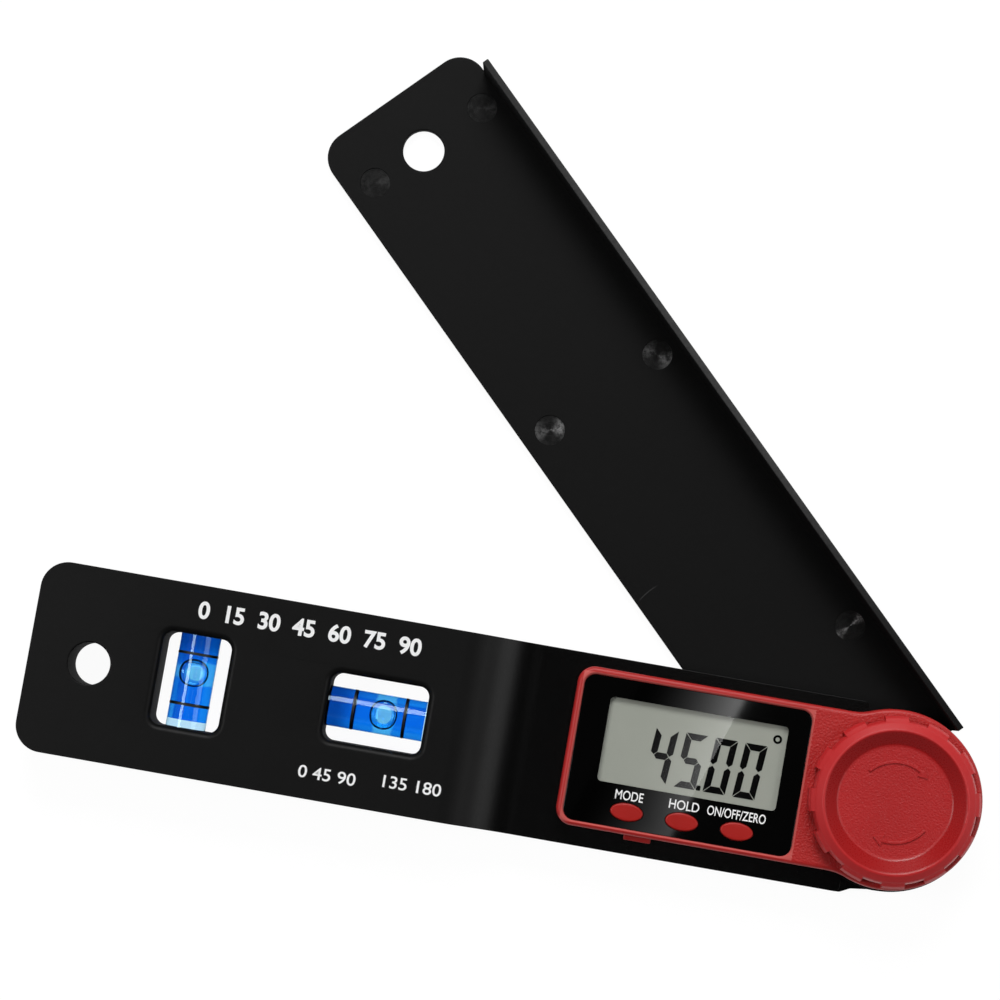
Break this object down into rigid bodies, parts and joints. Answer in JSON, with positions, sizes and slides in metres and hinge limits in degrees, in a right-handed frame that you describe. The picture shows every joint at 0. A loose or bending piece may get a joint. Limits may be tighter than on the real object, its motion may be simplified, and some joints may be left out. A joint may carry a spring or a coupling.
{
  "type": "digital angle finder",
  "caption": "Digital angle finder: a front arm with display, keys and level vials, a flanged rear blade, and a lock knob at their pivot.",
  "frame": {"origin": "pivot axis at the back face of the blade, on the flat head of the pivot bolt", "axes": "+Z towards the user, -X along the front arm to its tip, +Y to its upper edge; the blade is open by 45 degrees"},
  "size_m": [0.2271, 0.1823, 0.023],
  "materials": {
    "arm_plastic": "fine matt moulded texture",
    "blade_plastic": "fine matt moulded texture",
    "casing_red": "satin with a spark-eroded texture on the flat faces",
    "knob_red": "satin",
    "key_red": "glossy",
    "lens": "glossy black print behind a clear face, with a clear window",
    "lcd": "grey-green liquid crystal display",
    "rubber": "matt",
    "board": "green solder mask",
    "bush": "natural acetal",
    "steel": "zinc plated",
    "brass": "plain",
    "acrylic": "clear, polished",
    "fluid": "clear blue liquid with an air bubble"
  },
  "bodies": {
    "arm": {"front_arm": "arm_plastic", "back_cover": "arm_plastic", "display_casing": "casing_red", "display_lens": "lens", "lcd_glass": "lcd", "lcd_connector": "rubber", "main_board": "board", "mode_switch": "rubber", "hold_switch": "rubber", "power_switch": "rubber", "encoder_stator": "board", "wave_washer": "steel", "battery_cell": "steel", "negative_contact": "brass", "positive_contact": "brass", "upright_vial": "acrylic", "upright_vial_plug": "acrylic", "upright_vial_fluid": "fluid", "level_vial": "acrylic", "level_vial_plug": "acrylic", "level_vial_fluid": "fluid", "cover_screw_1": "steel", "cover_screw_2": "steel", "cover_screw_3": "steel", "cover_screw_4": "steel", "cover_screw_5": "steel", "cover_screw_6": "steel", "cover_screw_7": "steel", "cover_screw_8": "steel", "casing_screw_1": "steel", "casing_screw_2": "steel", "casing_screw_3": "steel", "casing_screw_4": "steel"},
    "blade_assembly": {"blade": "blade_plastic", "encoder_rotor": "brass", "pivot_bush": "bush", "pivot_bolt": "steel"},
    "knob": {"lock_knob": "knob_red", "knob_nut": "brass"},
    "mode_button": {"mode_key": "key_red"},
    "hold_button": {"hold_key": "key_red"},
    "power_button": {"power_key": "key_red"},
    "door": {"battery_door": "arm_plastic"}
  },
  "joints": [
    {"name": "blade_pivot", "type": "hinge", "parent": "arm", "child": "blade_assembly", "pos_m": [0, 0, 0], "axis": [0, 0, -1], "range_deg": [-45, 155]},
    {"name": "knob_turn", "type": "hinge", "parent": "blade_assembly", "child": "knob", "pos_m": [0, 0, 0.0173], "axis": [0, 0, 1], "range_deg": [0, 180]},
    {"name": "mode_press", "type": "slide", "parent": "arm", "child": "mode_button", "axis": [0, 0, -1], "range_m": [0, 0.0005], "stiffness_N_per_m": 1500},
    {"name": "hold_press", "type": "slide", "parent": "arm", "child": "hold_button", "axis": [0, 0, -1], "range_m": [0, 0.0005], "stiffness_N_per_m": 1500},
    {"name": "power_press", "type": "slide", "parent": "arm", "child": "power_button", "axis": [0, 0, -1], "range_m": [0, 0.0005], "stiffness_N_per_m": 1500},
    {"name": "door_turn", "type": "hinge", "parent": "arm", "child": "door", "pos_m": [-0.0478, -0.0006, 0.003], "axis": [0, 0, -1], "range_deg": [0, 45]}
  ]
}
